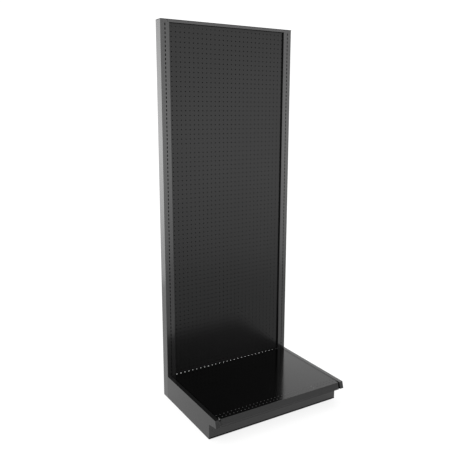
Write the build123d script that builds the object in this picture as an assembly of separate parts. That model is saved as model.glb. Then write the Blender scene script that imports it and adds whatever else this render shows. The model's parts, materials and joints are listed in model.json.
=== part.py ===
from build123d import *
import os

# Gondola shelving starter unit, wall type: two slotted uprights, a pegboard back
# and a base with a lift-off deck, a slanted price rail and a kick plate.
# Millimetres.  +X is the unit's right, the front faces -Y, +Z is up, and the
# origin is under the middle of the bounding box, on the floor.

# ---- driving dimensions ----
HEIGHT = 2465.7            # floor to the top of the trim
BAY = 914.4                # centre to centre of the uprights
UPRIGHT_W = 60.8
UPRIGHT_D = 67.0
UPRIGHT_T = 2.0            # upright wall
NEST = 24.0                # depth of the rear channel, nested inside the front one
BEND_R = 2.5               # outer bend radius of the upright channels

SLOT_PITCH = 25.4
SLOT_W = 6.4
SLOT_H = 16.0
SLOT_COUNT = 94
FIRST_SLOT_DROP = 31.7     # top of the unit to the middle of the first slot

PEG_PITCH_X = 30.8
PEG_PITCH_Z = 29.52
PEG_COLUMNS = 28
PEG_ROWS = 78
PEG_R = 3.6
PEG_SHIFT_X = 4.0          # the grid sits a little to the right of the sheet's middle
PEG_FIRST_Z = 152.5        # bottom row, seen just above the rear edge of the deck

PANEL_T = 5.0
PANEL_SET_BACK = 13.0      # panel front behind the uprights' front faces
PANEL_TOP_Z = 2453.0
PANEL_BOTTOM_Z = 136.0

DECK_Z = 157.5             # top of the deck
DECK_T = 1.5
DECK_RIM = 20.5            # height of the deck's side rims under its sheet
DECK_HOLE_R = 3.2
FRONT_HOLE_PITCH = 26.5
FRONT_HOLES = 35
FRONT_ROWS = (26.0, 52.5)  # distance of the two rows from the deck's front edge

NOSE_TOP = 649.0           # uprights' front to the top edge of the nose
NOSE_LOW = 660.2           # and to its bottom edge
NOSE_LOW_Z = 113.6
TOE_TOP_Z = 98.0           # underside of the nose at the kick plate
KICK_OUT = 574.7           # uprights' front to the kick plate's front
KICK_T = 1.5
SEAL_T = 1.0               # soft black edging along the foot of the kick plate
SEAL_TOP_Z = 8.9
SEAL_LOW_Z = 1.9
BRACKET_W = 27.0
BRACKET_T = 2.0
DECK_GAP = 5.0             # between the deck and a bracket's top flange
FLOOR_GAP = 5.0            # under the folded flanges
SKIRT_Z = 0.6              # under the outer walls, which hide the feet

TRIM_H = 4.0
TOP_LIP_H = 14.6           # visible front lip of the top rail
SHEET = 1.8                # top rail sheet
RAIL_T = 1.5
RAIL_H = 50.0
RAIL_D = 40.0
BOTTOM_RAIL_D = 14.0       # the bottom rail is shallow and carries the panel
REAR_SHEET_T = 3.0         # plain sheet that closes the back, behind the rails
REAR_SHEET_Z = 143.0
RAIL_UPPER_Z = 1660.0
RAIL_LOWER_Z = 900.0

PAD_H = FLOOR_GAP
STEM_R = 4.0
STEM_TOP_Z = 42.0
STEM_CLEARANCE = 0.05
NUT_FLATS = 13.0
NUT_H = 6.5
FRONT_FOOT_Y = 540.0       # front feet, ahead of the uprights' front

# ---- derived planes ----
HALF_W = (BAY + UPRIGHT_W) / 2
INNER_X = (BAY - UPRIGHT_W) / 2
BRACKET_X = HALF_W - BRACKET_W
FACE_Y = (NOSE_LOW - UPRIGHT_D) / 2
REAR_Y = FACE_Y + UPRIGHT_D
TOP_WEB_Z = HEIGHT - TRIM_H
UPRIGHT_TOP_Z = TOP_WEB_Z - SHEET
FIRST_SLOT_Z = HEIGHT - FIRST_SLOT_DROP
DECK_X = BRACKET_X - DECK_GAP
RAIL_END_X = BRACKET_X - 11.0
PANEL_Y = FACE_Y + PANEL_SET_BACK
BOTTOM_RAIL_Z = PANEL_BOTTOM_Z - RAIL_H
SIDES = {"left": -1, "right": 1}


def box(x0, x1, y0, y1, z0, z1):
    """Box between two corners, given in any order."""
    size = (abs(x1 - x0), abs(y1 - y0), abs(z1 - z0))
    centre = ((x0 + x1) / 2, (y0 + y1) / 2, (z0 + z1) / 2)
    return Pos(*centre) * Box(*size)


def rod(x, y, z, radius, length, axis):
    """Cylinder that starts at a point and runs along the axis."""
    plane = Plane(origin=(x, y, z), z_dir=axis)
    return plane * Cylinder(radius, length, align=(Align.CENTER, Align.CENTER, Align.MIN))


def hexagon(x, y, z, flats, length, axis):
    """Hexagonal prism that starts at a point and runs along the axis."""
    plane = Plane(origin=(x, y, z), z_dir=axis)
    face = RegularPolygon(flats / 2, 6, major_radius=False)
    return extrude(plane * face, length)


def along_x(points, x0, x1):
    """Closed profile of (y, z) points, run along X."""
    face = Plane.YZ.offset(min(x0, x1)) * make_face(Polyline(*points, close=True))
    return extrude(face, abs(x1 - x0), dir=(1, 0, 0))


def group(parts):
    """Separate solids that share one node."""
    return Compound(children=[part.solid() if hasattr(part, "solid") else part for part in parts])


def keep(name, part):
    """Write one node."""
    export_step(part, f"parts/{name}.step")


# ---- uprights ----
def slot_tools(x, y):
    """Every round-ended shelf slot of one column, as cutting solids through a wall at y."""
    plane = Plane(origin=(x, y - 4, FIRST_SLOT_Z), x_dir=(0, 0, 1), z_dir=(0, 1, 0))
    tool = extrude(plane * SlotOverall(SLOT_H, SLOT_W), 8)
    return [Pos(0, 0, -i * SLOT_PITCH) * tool for i in range(SLOT_COUNT)]


def tube_ring(width, depth, radius):
    """Rounded rectangular ring of the upright's wall thickness."""
    inner_r = radius - UPRIGHT_T
    outer = RectangleRounded(width, depth, radius)
    return outer - RectangleRounded(width - 2 * UPRIGHT_T, depth - 2 * UPRIGHT_T, inner_r)


def upright_front(side):
    """Front channel: slotted face, with two flanges running back the full depth."""
    ring = tube_ring(UPRIGHT_W, 2 * UPRIGHT_D, BEND_R)
    half = Pos(0, -UPRIGHT_D / 2) * Rectangle(UPRIGHT_W + 2, UPRIGHT_D)
    x = side * BAY / 2
    channel = extrude(Pos(x, REAR_Y, SKIRT_Z) * (ring & half), UPRIGHT_TOP_Z - SKIRT_Z)
    cuts = slot_tools(x, FACE_Y)
    cuts += [rod(bx, FACE_Y - 2, bz, STEM_R + 0.2, 8, (0, 1, 0)) for bx, bz in bolt_places(side)]
    cuts += [screw_hole(side, sy, sz) for sy, sz in screw_places()]
    return channel - cuts


def upright_rear(side):
    """Rear channel: plain, nested between the flanges of the front one to close the tube."""
    width = UPRIGHT_W - 2 * UPRIGHT_T - 0.1
    ring = tube_ring(width, 2 * NEST, BEND_R)
    half = Pos(0, NEST / 2) * Rectangle(width + 2, NEST)
    x = side * BAY / 2
    return extrude(Pos(x, REAR_Y - NEST, FLOOR_GAP) * (ring & half), UPRIGHT_TOP_Z - FLOOR_GAP)


def foot_plate(side):
    """Plate welded in the bottom of an upright, with a hole for the foot's stem."""
    x = side * BAY / 2
    inside = UPRIGHT_W / 2 - 2 * UPRIGHT_T - 0.6
    plate = box(x - inside, x + inside, FACE_Y + 6, REAR_Y - 6, FLOOR_GAP, FLOOR_GAP + 3)
    return plate - rod(x, FACE_Y + UPRIGHT_D / 2, 0, STEM_R + 0.5, 20, (0, 0, 1))


# ---- fixings ----
def bolt_places(side):
    """Bolts from a base bracket into its upright, as (x, z)."""
    x = side * (BRACKET_X + 10.5)
    return [(x, 42.0), (x, 118.0)]


def screw_places():
    """Screws through the ends of the back rails, as (y, z)."""
    y = PANEL_Y + PANEL_T + 7.5
    levels = (BOTTOM_RAIL_Z, RAIL_LOWER_Z, RAIL_UPPER_Z)
    return [(y, z + lift) for z in levels for lift in (12.0, RAIL_H - 12.0)]


def screw_hole(side, y, z):
    """Hole for a rail screw through the inner wall of an upright."""
    return rod(side * (INNER_X - 3), y, z, 2.6, 6.5, (side, 0, 0))


def rail_screw(side, y, z):
    """Pan-head screw from a rail's end tab into the upright."""
    seat = side * (INNER_X - RAIL_T - 0.1)
    head = rod(seat, y, z, 4.6, 2.6, (-side, 0, 0))
    return head + rod(seat, y, z, 2.5, 9.0, (side, 0, 0))


def bracket_bolt(x, z):
    """Hexagon bolt through a bracket's rear flange and the upright's face."""
    seat = FACE_Y - BRACKET_T
    head = hexagon(x, seat, z, NUT_FLATS, 5.3, (0, -1, 0))
    return head + rod(x, seat, z, STEM_R, 14.0, (0, 1, 0))


def bracket_nut(x, z):
    """Nut on that bolt, inside the upright."""
    seat = FACE_Y + UPRIGHT_T
    nut = hexagon(x, seat, z, NUT_FLATS, NUT_H, (0, 1, 0))
    return nut - rod(x, seat - 1, z, STEM_R + 0.02, NUT_H + 2, (0, 1, 0))


# ---- back ----
def back_panel():
    """Pegboard sheet with its whole grid of holes."""
    half = INNER_X - 0.5
    corners = [(-half, PANEL_BOTTOM_Z), (half, PANEL_BOTTOM_Z), (half, PANEL_TOP_Z), (-half, PANEL_TOP_Z)]
    plane = Plane(origin=(0, PANEL_Y, 0), x_dir=(1, 0, 0), z_dir=(0, -1, 0))
    first = PEG_SHIFT_X - (PEG_COLUMNS - 1) / 2 * PEG_PITCH_X
    columns = [first + i * PEG_PITCH_X for i in range(PEG_COLUMNS)]
    rows = [PEG_FIRST_Z + j * PEG_PITCH_Z for j in range(PEG_ROWS)]
    outline = plane * Polyline(*corners, close=True)
    holes = [plane * Pos(x, z) * Wire.make_circle(PEG_R) for x in columns for z in rows]
    return extrude(Face(Wire(outline.edges()), holes), PANEL_T, dir=(0, 1, 0))


def rear_sheet():
    """Plain sheet behind the rails, which closes the back."""
    half = INNER_X - 0.5
    y0 = PANEL_Y + PANEL_T + 0.1 + RAIL_D
    return box(-half, half, y0, y0 + REAR_SHEET_T, REAR_SHEET_Z, UPRIGHT_TOP_Z - 2)


def back_rail(z0, depth, ledge):
    """Channel rail behind the panel, with a folded tab at each end."""
    y0 = PANEL_Y + PANEL_T + 0.1
    end = INNER_X - 0.1
    top = z0 + RAIL_H
    rail = box(-end, end, y0, y0 + RAIL_T, z0, top)
    rail += box(-end, end, y0, y0 + depth, z0, z0 + RAIL_T)
    rail += box(-end, end, y0, y0 + depth, top - RAIL_T, top)
    if ledge:
        rail += box(-end, end, PANEL_Y + 0.1, y0 + RAIL_T, top - RAIL_T, top)
    for side in SIDES.values():
        tab = box(side * (end - RAIL_T), side * end, y0, y0 + depth, z0, top)
        rail += tab
    return rail - [screw_hole(side, y, z) for side in SIDES.values() for y, z in screw_places()]


def top_rail():
    """Folded rail across the top: front lip, web over the uprights, two lips behind."""
    inside = INNER_X - 0.4
    rail = box(-HALF_W, HALF_W, FACE_Y, REAR_Y, UPRIGHT_TOP_Z, TOP_WEB_Z)
    rail += box(-INNER_X - 11, INNER_X + 11, FACE_Y - SHEET, FACE_Y, TOP_WEB_Z - TOP_LIP_H, TOP_WEB_Z)
    back = PANEL_Y + PANEL_T + 0.1
    rail += box(-inside, inside, back, back + SHEET, PANEL_TOP_Z - 30, UPRIGHT_TOP_Z)
    rail += box(-inside, inside, REAR_Y - SHEET, REAR_Y, PANEL_TOP_Z - 30, UPRIGHT_TOP_Z)
    return rail


def top_trim():
    """Plastic strip along the whole top."""
    strip = box(-HALF_W, HALF_W, FACE_Y - SHEET, REAR_Y, TOP_WEB_Z, HEIGHT)
    return fillet(strip.edges().filter_by(Axis.X).group_by(Axis.Z)[-1], 1.5)


# ---- base ----
def bracket_outline(inset):
    """Side profile of a base bracket, shrunk by an inset."""
    points = [
        (FACE_Y, FLOOR_GAP),
        (FACE_Y, DECK_Z),
        (FACE_Y - NOSE_TOP, DECK_Z),
        (FACE_Y - NOSE_LOW, NOSE_LOW_Z),
        (FACE_Y - KICK_OUT + KICK_T, TOE_TOP_Z),
        (FACE_Y - KICK_OUT + KICK_T, FLOOR_GAP),
    ]
    face = make_face(Polyline(*points, close=True))
    return offset(face, -inset, kind=Kind.INTERSECTION) if inset else face


def base_bracket(side):
    """Folded tray: closed outer side with a skirt below, flanges all round, a slanted nose."""
    outer_x = side * HALF_W
    step = (-side, 0, 0)
    plane = Plane.YZ.offset(outer_x)
    solid = extrude(plane * bracket_outline(0), BRACKET_W, dir=step)
    hollow_plane = Plane.YZ.offset(outer_x - side * BRACKET_T)
    hollow = extrude(hollow_plane * bracket_outline(BRACKET_T), BRACKET_W, dir=step)
    foot_x = side * (BRACKET_X + 12.7)
    cuts = [rod(bx, FACE_Y + 1, bz, STEM_R + 0.2, 6, (0, -1, 0)) for bx, bz in bolt_places(side)]
    cuts.append(rod(foot_x, FACE_Y - FRONT_FOOT_Y, 0, STEM_R + 0.5, 12, (0, 0, 1)))
    skirt_front = FACE_Y - KICK_OUT + KICK_T
    skirt = box(outer_x - side * BRACKET_T, outer_x, skirt_front, FACE_Y, SKIRT_Z, FLOOR_GAP + 1)
    return solid - hollow - cuts + skirt


def deck_rest(side):
    """Angle inside a bracket that carries the deck's side rim."""
    top = DECK_Z - DECK_T - DECK_RIM
    wall = side * (HALF_W - BRACKET_T)
    front = FACE_Y - 600
    rear = FACE_Y - 30
    ledge = box(side * (DECK_X - 20), wall, front, rear, top - 2, top)
    return ledge + box(wall - side * 2, wall, front, rear, top - 26, top)


def deck_holes():
    """Centres of the two front rows, as (x, y)."""
    centres = []
    for row in FRONT_ROWS:
        y = FACE_Y - NOSE_TOP + row
        centres += [((i - (FRONT_HOLES - 1) / 2) * FRONT_HOLE_PITCH, y) for i in range(FRONT_HOLES)]
    return centres


def nose_line(z):
    """Y of the nose's outer slanted face at height z."""
    lean = (NOSE_LOW - NOSE_TOP) / (DECK_Z - NOSE_LOW_Z)
    return FACE_Y - NOSE_TOP - lean * (DECK_Z - z)


def deck():
    """Deck sheet: side rims, notched front corners and a slanted front flange."""
    front = nose_line(DECK_Z) + 6.0
    notch = front + 14.0
    sheet_z = DECK_Z - DECK_T
    body = box(-DECK_X, DECK_X, notch, FACE_Y - 0.5, sheet_z, DECK_Z)
    body += box(-RAIL_END_X, RAIL_END_X, front, notch + 1, sheet_z, DECK_Z)
    for side in SIDES.values():
        rim = box(side * (DECK_X - DECK_T), side * DECK_X, notch, FACE_Y - 0.5,
                  sheet_z - DECK_RIM, DECK_Z)
        body += rim
    low = NOSE_LOW_Z + 3
    flange = [
        (nose_line(DECK_Z) + 5.2, DECK_Z),
        (nose_line(low) + 5.2, low),
        (nose_line(low) + 17.0, low),
        (nose_line(low) + 17.0, low + DECK_T),
        (nose_line(low) + 6.8, low + DECK_T),
        (nose_line(sheet_z) + 6.8, sheet_z),
        (front + 1, sheet_z),
        (front + 1, DECK_Z),
    ]
    body += along_x(flange, -RAIL_END_X, RAIL_END_X)
    return body - [Pos(x, y, DECK_Z) * Cylinder(DECK_HOLE_R, 8) for x, y in deck_holes()]


def price_rail():
    """Slanted ticket rail in front of the deck, with a lip above and below its recess."""
    lip = 6.0
    recess = 2.2
    back = 5.1
    low = NOSE_LOW_Z
    points = [
        (nose_line(DECK_Z) + back, DECK_Z),
        (nose_line(DECK_Z) + 1.2, DECK_Z),
        (nose_line(DECK_Z - 1.2), DECK_Z - 1.2),
        (nose_line(DECK_Z - lip), DECK_Z - lip),
        (nose_line(DECK_Z - lip) + recess, DECK_Z - lip - 0.8),
        (nose_line(low + lip + 2) + recess, low + lip + 2),
        (nose_line(low + lip), low + lip),
        (nose_line(low), low),
        (nose_line(low) + back, low),
    ]
    return along_x(points, -RAIL_END_X, RAIL_END_X)


def deck_stiffener(distance):
    """Channel welded under the deck, open at the top."""
    y = FACE_Y - distance
    top = DECK_Z - DECK_T
    low = top - DECK_RIM
    x = DECK_X - DECK_T - 0.5
    body = box(-x, x, y - 30, y + 30, low, low + 1.2)
    body += box(-x, x, y - 30, y - 28.8, low, top)
    body += box(-x, x, y + 28.8, y + 30, low, top)
    return body


def kick_plate():
    """Front plate of the toe recess with a return flange above and below."""
    y = FACE_Y - KICK_OUT
    top = TOE_TOP_Z - 1.5
    x = BRACKET_X - 5.0
    plate = box(-HALF_W, HALF_W, y, y + KICK_T, FLOOR_GAP, top)
    plate += box(-x, x, y, y + 14, top - KICK_T, top)
    plate += box(-x, x, y, y + 14, FLOOR_GAP, FLOOR_GAP + KICK_T)
    return plate


def kick_seal():
    """Soft black edging, an angle under and in front of the kick plate's foot."""
    y = FACE_Y - KICK_OUT
    x = HALF_W - 0.5
    under = HALF_W - BRACKET_T - 0.5
    seal = box(-x, x, y - SEAL_T, y, SEAL_LOW_Z, SEAL_TOP_Z)
    return seal + box(-under, under, y - SEAL_T, y + 9, SEAL_LOW_Z, FLOOR_GAP)


def kick_tab(side):
    """Spring tab that grips the inner edge of a bracket's front flange."""
    y = FACE_Y - KICK_OUT + KICK_T
    x = BRACKET_X - 1.6
    foot = box(side * (x - 14), side * x, y, y + 1.2, 38, 62)
    return foot + box(side * (x - 1.2), side * x, y, y + 18, 38, 62)


# ---- feet ----
def foot_places():
    """Levelling feet: name, x, y, pad radius and the height of the seat of the nut."""
    places = []
    for name, side in SIDES.items():
        front = (side * (BRACKET_X + 12.7), FACE_Y - FRONT_FOOT_Y, 11.5, FLOOR_GAP + BRACKET_T)
        rear = (side * BAY / 2, FACE_Y + UPRIGHT_D / 2, 18.0, FLOOR_GAP + 3)
        places.append((f"front_{name}", *front))
        places.append((f"rear_{name}", *rear))
    return places


def foot_pad(x, y, radius):
    """Round plastic pad with a socket for the stem."""
    pad = rod(x, y, 0, radius, PAD_H, (0, 0, 1))
    pad = chamfer(pad.edges().group_by(Axis.Z)[0], 0.8)
    return pad - rod(x, y, 2, STEM_R + 0.02, PAD_H, (0, 0, 1))


def foot_stem(x, y):
    """Threaded stem, drawn at its outer diameter."""
    stem = rod(x, y, 2, STEM_R, STEM_TOP_Z - 2, (0, 0, 1))
    return chamfer(stem.edges().group_by(Axis.Z)[-1], 0.6)


def foot_nut(x, y, seat):
    """Nut welded over the hole, in which the stem turns."""
    nut = hexagon(x, y, seat, NUT_FLATS, NUT_H, (0, 0, 1))
    return nut - rod(x, y, seat - 1, STEM_R + STEM_CLEARANCE, NUT_H + 2, (0, 0, 1))


# ---- write every node ----
os.makedirs("parts", exist_ok=True)

for name, side in SIDES.items():
    keep(f"upright_{name}_front", upright_front(side))
    keep(f"upright_{name}_rear", upright_rear(side))
    keep(f"foot_plate_{name}", foot_plate(side))
    keep(f"base_bracket_{name}", base_bracket(side))
    keep(f"deck_rest_{name}", deck_rest(side))

keep("back_panel", back_panel())
keep("back_rail_upper", back_rail(RAIL_UPPER_Z, RAIL_D, False))
keep("back_rail_lower", back_rail(RAIL_LOWER_Z, RAIL_D, False))
keep("back_rail_bottom", back_rail(BOTTOM_RAIL_Z, BOTTOM_RAIL_D, True))
keep("rear_sheet", rear_sheet())
keep("top_rail", top_rail())
keep("top_trim", top_trim())
keep("deck", deck())
keep("price_rail", price_rail())
keep("deck_stiffener_front", deck_stiffener(440))
keep("deck_stiffener_rear", deck_stiffener(200))
keep("kick_plate", kick_plate())
keep("kick_seal", kick_seal())
keep("kick_plate_tabs", group([kick_tab(side) for side in SIDES.values()]))

BOLTS = [place for side in SIDES.values() for place in bolt_places(side)]
keep("bracket_bolts", group([bracket_bolt(*place) for place in BOLTS]))
keep("bracket_nuts", group([bracket_nut(*place) for place in BOLTS]))
SCREWS = [(side, *place) for side in SIDES.values() for place in screw_places()]
keep("rail_screws", group([rail_screw(*place) for place in SCREWS]))
keep("foot_nuts", group([foot_nut(x, y, seat) for _, x, y, _, seat in foot_places()]))

for name, x, y, radius, _ in foot_places():
    keep(f"foot_pad_{name}", foot_pad(x, y, radius))
    keep(f"foot_stem_{name}", foot_stem(x, y))
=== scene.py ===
import json
import math

import bpy
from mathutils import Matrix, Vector


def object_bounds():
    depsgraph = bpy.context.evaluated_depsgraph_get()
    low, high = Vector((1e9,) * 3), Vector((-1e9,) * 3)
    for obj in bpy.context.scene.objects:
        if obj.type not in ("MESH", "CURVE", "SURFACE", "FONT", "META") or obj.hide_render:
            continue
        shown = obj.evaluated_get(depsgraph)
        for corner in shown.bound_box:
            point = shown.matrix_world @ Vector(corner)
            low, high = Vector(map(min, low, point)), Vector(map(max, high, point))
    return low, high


# Studio picture of a black wall gondola.  Metres, in the frame's own axes:
# +X is the unit's right, its front faces -Y and +Z is up.

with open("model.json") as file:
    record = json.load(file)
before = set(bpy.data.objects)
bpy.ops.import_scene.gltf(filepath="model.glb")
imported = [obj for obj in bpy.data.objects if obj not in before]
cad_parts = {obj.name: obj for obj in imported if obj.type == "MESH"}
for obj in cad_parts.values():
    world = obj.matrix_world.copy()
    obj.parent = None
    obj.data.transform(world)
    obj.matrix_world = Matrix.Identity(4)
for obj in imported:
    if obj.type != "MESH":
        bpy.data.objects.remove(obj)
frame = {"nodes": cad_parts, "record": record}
cad_low, cad_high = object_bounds()
nodes = frame["nodes"]
record = frame["record"]

# ---- camera ----
EYE = (-1.939, -2.921, 1.901)
VIEW_YAW = 30.58        # degrees it is turned to its right from square-on
VIEW_PITCH = 11.21      # degrees it looks down
LENS = 44.65            # mm
SENSOR_WIDTH = 36.0     # mm
CLIP_END = 200.0


def make_camera():
    """Camera above eye height, in front and to the left."""
    data = bpy.data.cameras.new("camera")
    data.lens = LENS
    data.sensor_width = SENSOR_WIDTH
    data.clip_end = CLIP_END
    camera = bpy.data.objects.new("camera", data)
    bpy.context.scene.collection.objects.link(camera)
    yaw = math.radians(VIEW_YAW)
    pitch = math.radians(VIEW_PITCH)
    level = math.cos(pitch)
    ahead = Vector((math.sin(yaw) * level, math.cos(yaw) * level, -math.sin(pitch)))
    camera.location = EYE
    camera.rotation_mode = "QUATERNION"
    camera.rotation_quaternion = ahead.to_track_quat("-Z", "Y")
    bpy.context.scene.camera = camera


# ---- node helpers ----
class Graph:
    """Short way to add and link nodes in one tree."""

    def __init__(self, tree):
        self.tree = tree
        tree.nodes.clear()

    def add(self, kind, **values):
        node = self.tree.nodes.new(kind)
        for key, value in values.items():
            setattr(node, key, value)
        return node

    def link(self, source, target):
        self.tree.links.new(source, target)

    def set(self, node, **inputs):
        for key, value in inputs.items():
            node.inputs[key.replace("_", " ")].default_value = value
        return node

    def math(self, operation, a, b=None):
        node = self.add("ShaderNodeMath", operation=operation)
        for socket, value in zip(node.inputs, (a, b)):
            if value is None:
                continue
            if isinstance(value, (int, float)):
                socket.default_value = value
            else:
                self.link(value, socket)
        return node.outputs[0]

    def noise(self, coordinates, scale, detail=2.0, roughness=0.5):
        node = self.add("ShaderNodeTexNoise")
        self.set(node, Scale=scale, Detail=detail, Roughness=roughness)
        self.link(coordinates, node.inputs["Vector"])
        return node.outputs["Fac"]

    def ramp(self, source, low, high, out_low, out_high):
        node = self.add("ShaderNodeMapRange")
        self.set(node, From_Min=low, From_Max=high, To_Min=out_low, To_Max=out_high)
        self.link(source, node.inputs["Value"])
        return node.outputs["Result"]

    def colours(self, source, stops):
        node = self.add("ShaderNodeValToRGB")
        ramp = node.color_ramp
        while len(ramp.elements) < len(stops):
            ramp.elements.new(0.5)
        for element, (place, colour) in zip(ramp.elements, stops):
            element.position = place
            element.color = (*colour, 1.0)
        self.link(source, node.inputs["Fac"])
        return node.outputs["Color"]


def object_place(g):
    """Place on the piece itself, so patterns move with it."""
    return g.add("ShaderNodeTexCoord").outputs["Object"]


def grey(value):
    """Near-neutral grey, very slightly cool."""
    return (value, value, value * 1.02)


def two_tones(tone, darker, lighter):
    """Colour stops either side of a tone, for a noise that runs from about 0.3 to 0.7."""
    return [(0.3, grey(tone * darker)), (0.7, grey(tone * lighter))]


def new_material(name, **shader_inputs):
    """A material with its graph and its one Principled shader."""
    material = bpy.data.materials.new(name)
    material.use_nodes = True
    g = Graph(material.node_tree)
    return material, g, g.set(g.add("ShaderNodeBsdfPrincipled"), **shader_inputs)


# ---- world and floor ----
SKY_STRENGTH = 2.9
SKY = (                 # height of the direction (sine of elevation), share of the strength
    (-1.00, 0.45),
    (-0.36, 0.42),
    (-0.225, 0.62),
    (-0.15, 0.85),
    (-0.035, 1.00),
    (0.15, 0.75),
    (0.35, 0.55),
    (0.55, 0.52),
    (1.00, 0.95),
)
LEFT_BOOST = 0.48       # how much more light comes from the left
BACKDROP_STRENGTH = 1.1

# Two dark bands in the studio.  Each fades in over a span of the direction's X and one
# of its Y, and leaves a share of the light.
RIGHT_BAND = ((0.66, 0.74), (0.56, 0.46), 0.06)
FRONT_LEFT_BAND = ((-0.35, -0.6), (0.1, -0.2), 0.3)


def band_share(g, split, band):
    """Share of the light that a dark band leaves, for every direction."""
    (x_start, x_full), (y_start, y_full), share = band
    inside = g.math("MULTIPLY", g.ramp(split.outputs["X"], x_start, x_full, 0.0, 1.0),
                    g.ramp(split.outputs["Y"], y_start, y_full, 0.0, 1.0))
    return g.ramp(inside, 0.0, 1.0, 1.0, share)


def make_world():
    """A studio that lights the unit, brightest around the horizon and to the left.

    The camera itself sees a plain white backdrop in its place.  The studio's uneven tones
    and dark bands act only on the unit, by its lighting and its reflections.
    """
    world = bpy.data.worlds.new("studio")
    world.use_nodes = True
    bpy.context.scene.world = world
    g = Graph(world.node_tree)
    place = g.add("ShaderNodeTexCoord")
    split = g.add("ShaderNodeSeparateXYZ")
    g.link(place.outputs["Generated"], split.inputs[0])
    height = g.ramp(split.outputs["Z"], -1.0, 1.0, 0.0, 1.0)
    tone = g.colours(height, [((z + 1) / 2, (v, v, v)) for z, v in SKY])
    left = g.ramp(split.outputs["X"], 0.0, -0.5, 0.0, 0.5)
    boost = g.math("ADD", g.math("MULTIPLY", left, LEFT_BOOST), 1.0)
    strength = g.math("MULTIPLY", boost, SKY_STRENGTH)
    for band in (RIGHT_BAND, FRONT_LEFT_BAND):
        strength = g.math("MULTIPLY", strength, band_share(g, split, band))
    studio = g.add("ShaderNodeBackground")
    g.link(tone, studio.inputs["Color"])
    g.link(strength, studio.inputs["Strength"])
    backdrop = g.set(g.add("ShaderNodeBackground"), Color=(1, 1, 1, 1), Strength=BACKDROP_STRENGTH)
    seen = g.add("ShaderNodeLightPath").outputs["Is Camera Ray"]
    mix = g.add("ShaderNodeMixShader")
    g.link(seen, mix.inputs[0])
    g.link(studio.outputs[0], mix.inputs[1])
    g.link(backdrop.outputs[0], mix.inputs[2])
    out = g.add("ShaderNodeOutputWorld")
    g.link(mix.outputs[0], out.inputs[0])


FLOOR_R = 3.2
FLOOR_SIDES = 96
FLOOR_DROP = 0.0002     # how far it lies below the unit's lowest point
FLOOR_ALBEDO = 0.13
FLOOR_GLOW = 0.84       # a self-lit white cove: most of the floor's light is its own
SHADOW_PATCH_GLOW = 0.14       # painted shadow: the floor's glow is turned down to this under the base
SHADOW_PATCH_X = (0.478, 0.455)        # the two edges of the painted shadow patch, from its middle
SHADOW_PATCH_Y = (0.31, 0.28)
SHADOW_PATCH_MIDDLE_Y = 0.025


def make_floor():
    """Plain pale floor disc, with a painted shadow under the base, where its glow is turned down.
    """
    angles = [2 * math.pi * i / FLOOR_SIDES for i in range(FLOOR_SIDES)]
    ring = [(FLOOR_R * math.cos(a), FLOOR_R * math.sin(a), 0.0) for a in angles]
    mesh = bpy.data.meshes.new("floor")
    mesh.from_pydata(ring, [], [list(range(FLOOR_SIDES))])
    floor = bpy.data.objects.new("floor", mesh)
    floor.location.z = cad_low.z - FLOOR_DROP
    bpy.context.scene.collection.objects.link(floor)
    material, g, shader = new_material(
        "floor_white", Base_Color=(FLOOR_ALBEDO, FLOOR_ALBEDO, FLOOR_ALBEDO, 1), Roughness=0.9,
        Specular_IOR_Level=0.0, Emission_Color=(1, 1, 1, 1))
    split = g.add("ShaderNodeSeparateXYZ")
    g.link(object_place(g), split.inputs[0])
    # Painted shadow: a soft-edged patch under the base, where the floor's glow is turned down.
    across = g.ramp(g.math("ABSOLUTE", split.outputs["X"]), *SHADOW_PATCH_X, 0.0, 1.0)
    middle = g.math("ABSOLUTE", g.math("SUBTRACT", split.outputs["Y"], SHADOW_PATCH_MIDDLE_Y))
    under = g.math("MULTIPLY", across, g.ramp(middle, *SHADOW_PATCH_Y, 0.0, 1.0))
    g.link(g.ramp(under, 0.0, 1.0, FLOOR_GLOW, SHADOW_PATCH_GLOW), shader.inputs["Emission Strength"])
    out = g.add("ShaderNodeOutputMaterial")
    g.link(shader.outputs[0], out.inputs[0])
    mesh.materials.append(material)


# ---- materials ----
def finish_material(g, shader, bump_height, distance, strength):
    """Bump and output."""
    bump = g.add("ShaderNodeBump")
    g.set(bump, Strength=strength, Distance=distance)
    g.link(bump_height, bump.inputs["Height"])
    g.link(bump.outputs["Normal"], shader.inputs["Normal"])
    out = g.add("ShaderNodeOutputMaterial")
    g.link(shader.outputs[0], out.inputs[0])


def powder_coat(name, tone, roughness, level, peel=0.12):
    """Black powder coat: faint orange peel under a slightly patchy tone and gloss."""
    material, g, shader = new_material(name, IOR=1.5, Specular_IOR_Level=level)
    place = object_place(g)
    broad = g.noise(place, scale=3.1, detail=3.0, roughness=0.55)
    fine = g.noise(place, scale=620.0, detail=2.0, roughness=0.5)
    flecks = g.noise(place, scale=95.0, detail=4.0, roughness=0.7)
    g.link(g.colours(broad, two_tones(tone, 0.8, 1.25)), shader.inputs["Base Color"])
    patches = g.math("ADD", g.math("MULTIPLY", broad, 0.6), g.math("MULTIPLY", flecks, 0.4))
    gloss = g.ramp(patches, 0.35, 0.65, roughness * 0.88, roughness * 1.14)
    g.link(gloss, shader.inputs["Roughness"])
    finish_material(g, shader, fine, 0.0004, peel)
    return material


def hardboard(name, tone, roughness, level):
    """Painted hardboard: short fibres lying down the sheet under satin paint."""
    material, g, shader = new_material(name, IOR=1.5, Specular_IOR_Level=level)
    place = object_place(g)
    stretch = g.add("ShaderNodeMapping")
    stretch.inputs["Scale"].default_value = (1.0, 1.0, 0.22)
    g.link(place, stretch.inputs["Vector"])
    fibre = g.noise(stretch.outputs[0], scale=420.0, detail=5.0, roughness=0.65)
    broad = g.noise(place, scale=2.3, detail=2.0, roughness=0.5)
    g.link(g.colours(broad, two_tones(tone, 0.85, 1.15)), shader.inputs["Base Color"])
    gloss = g.ramp(fibre, 0.3, 0.7, roughness * 0.85, roughness * 1.15)
    g.link(gloss, shader.inputs["Roughness"])
    finish_material(g, shader, fibre, 0.0003, 0.10)
    return material


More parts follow.
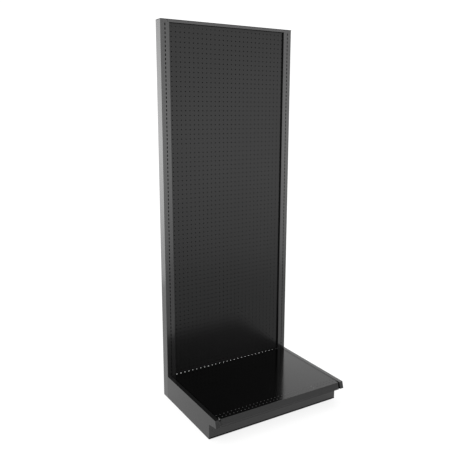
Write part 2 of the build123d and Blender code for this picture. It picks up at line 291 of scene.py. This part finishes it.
def plastic(name, tone, roughness, level=0.5):
    """Moulded matte plastic with a fine spark-eroded grain."""
    material, g, shader = new_material(name, IOR=1.46, Specular_IOR_Level=level)
    grain = g.noise(object_place(g), scale=1100.0, detail=3.0, roughness=0.6)
    g.link(g.colours(grain, two_tones(tone, 0.8, 1.2)), shader.inputs["Base Color"])
    g.link(g.ramp(grain, 0.3, 0.7, roughness - 0.06, roughness + 0.06), shader.inputs["Roughness"])
    finish_material(g, shader, grain, 0.0003, 0.25)
    return material


def zinc(name):
    """Zinc-plated steel, with faint turning marks and a cloudy passivation."""
    material, g, shader = new_material(name, Metallic=1.0)
    place = object_place(g)
    clouds = g.noise(place, scale=60.0, detail=4.0, roughness=0.6)
    wave = g.add("ShaderNodeTexWave", wave_type="BANDS", bands_direction="Z")
    g.set(wave, Scale=900.0, Distortion=1.5, Detail=1.0)
    g.link(place, wave.inputs["Vector"])
    stops = [(0.25, (0.36, 0.37, 0.38)), (0.6, (0.52, 0.53, 0.55)), (0.85, (0.58, 0.56, 0.50))]
    g.link(g.colours(clouds, stops), shader.inputs["Base Color"])
    g.link(g.ramp(clouds, 0.3, 0.7, 0.28, 0.42), shader.inputs["Roughness"])
    finish_material(g, shader, wave.outputs["Fac"], 0.0002, 0.15)
    return material


# One for each material slot in the record: tone, roughness, and how strongly it reflects.
MATERIALS = {
    "powder_black": powder_coat("powder_black", 0.005, 0.18, 0.60),
    "base_black": powder_coat("base_black", 0.004, 0.13, 0.34),
    "deck_black": powder_coat("deck_black", 0.0008, 0.125, 0.235, peel=0.05),
    "nose_black": powder_coat("nose_black", 0.008, 0.30, 0.23),
    "kick_black": powder_coat("kick_black", 0.010, 0.30, 0.44),
    "panel_black": hardboard("panel_black", 0.004, 0.24, 0.225),
    "trim_plastic": plastic("trim_plastic", 0.010, 0.5, 0.2),
    "pad_plastic": plastic("pad_plastic", 0.012, 0.6),
    # Partly a soft vinyl edging along the kick plate's foot, partly a painted shadow: its
    # near-black, barely reflective finish stands in for the dark shadow line at the floor.
    "seal_vinyl": plastic("seal_vinyl", 0.003, 0.7, 0.03),
    "zinc_steel": zinc("zinc_steel"),
}


def dress_nodes():
    """Give every CAD node the material of its own slot."""
    for part in record["subparts"]:
        obj = nodes[part["node"]]
        material = MATERIALS[part["material_slot"]]
        if not obj.material_slots:
            obj.data.materials.append(material)
        for slot in obj.material_slots:
            slot.material = material


make_camera()
make_world()
make_floor()
dress_nodes()

scene = bpy.context.scene
scene.view_settings.view_transform = "Standard"
scene.view_settings.look = "None"
